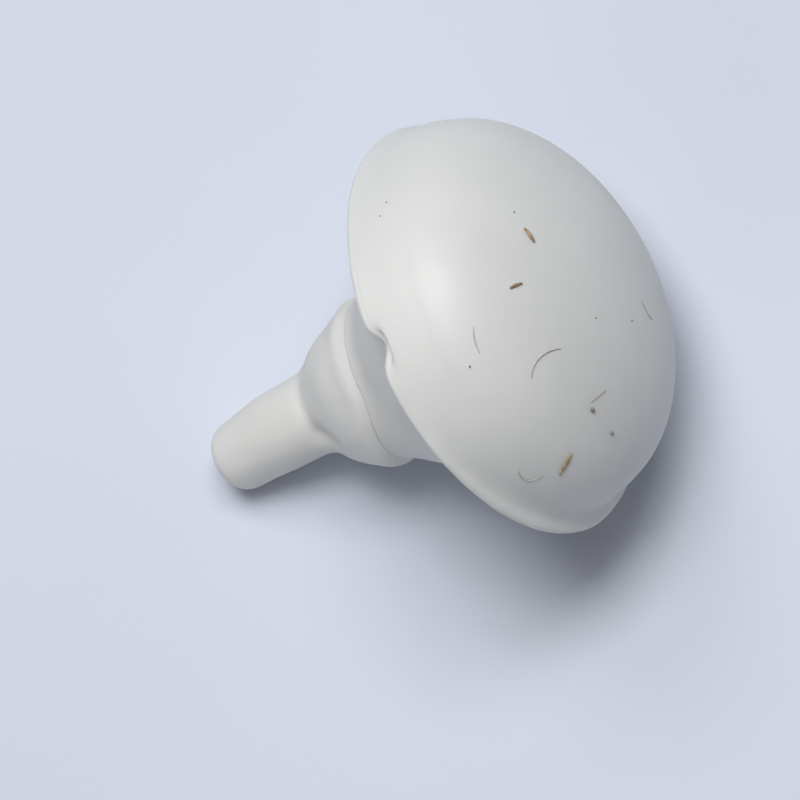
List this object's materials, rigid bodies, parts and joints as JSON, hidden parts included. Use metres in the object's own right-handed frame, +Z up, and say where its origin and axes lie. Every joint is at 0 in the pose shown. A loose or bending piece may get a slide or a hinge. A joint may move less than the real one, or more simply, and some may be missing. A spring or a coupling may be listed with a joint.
{
  "type": "shuttlecock nose plug",
  "caption": "Domed rubber nose plug for a plastic-skirted badminton shuttlecock: turned-out lip, flared back collar, retaining barb and pull tail, lying on its side.",
  "frame": {"origin": "on the surface the plug lies on, at the middle of its footprint box", "axes": "+X level, from the tail towards the nose; +Z up; the plug's own axis lies in the XZ plane, with the nose raised about 28 degrees"},
  "size_m": [0.029, 0.0258, 0.0233],
  "materials": {
    "cap_rubber": "satin",
    "core_foam": "matte",
    "collar_rubber": "satin",
    "stem_rubber": "satin"
  },
  "bodies": {
    "root": {"nose_cap": "cap_rubber", "impact_core": "core_foam", "back_collar": "collar_rubber", "stem": "stem_rubber"}
  },
  "joints": []
}
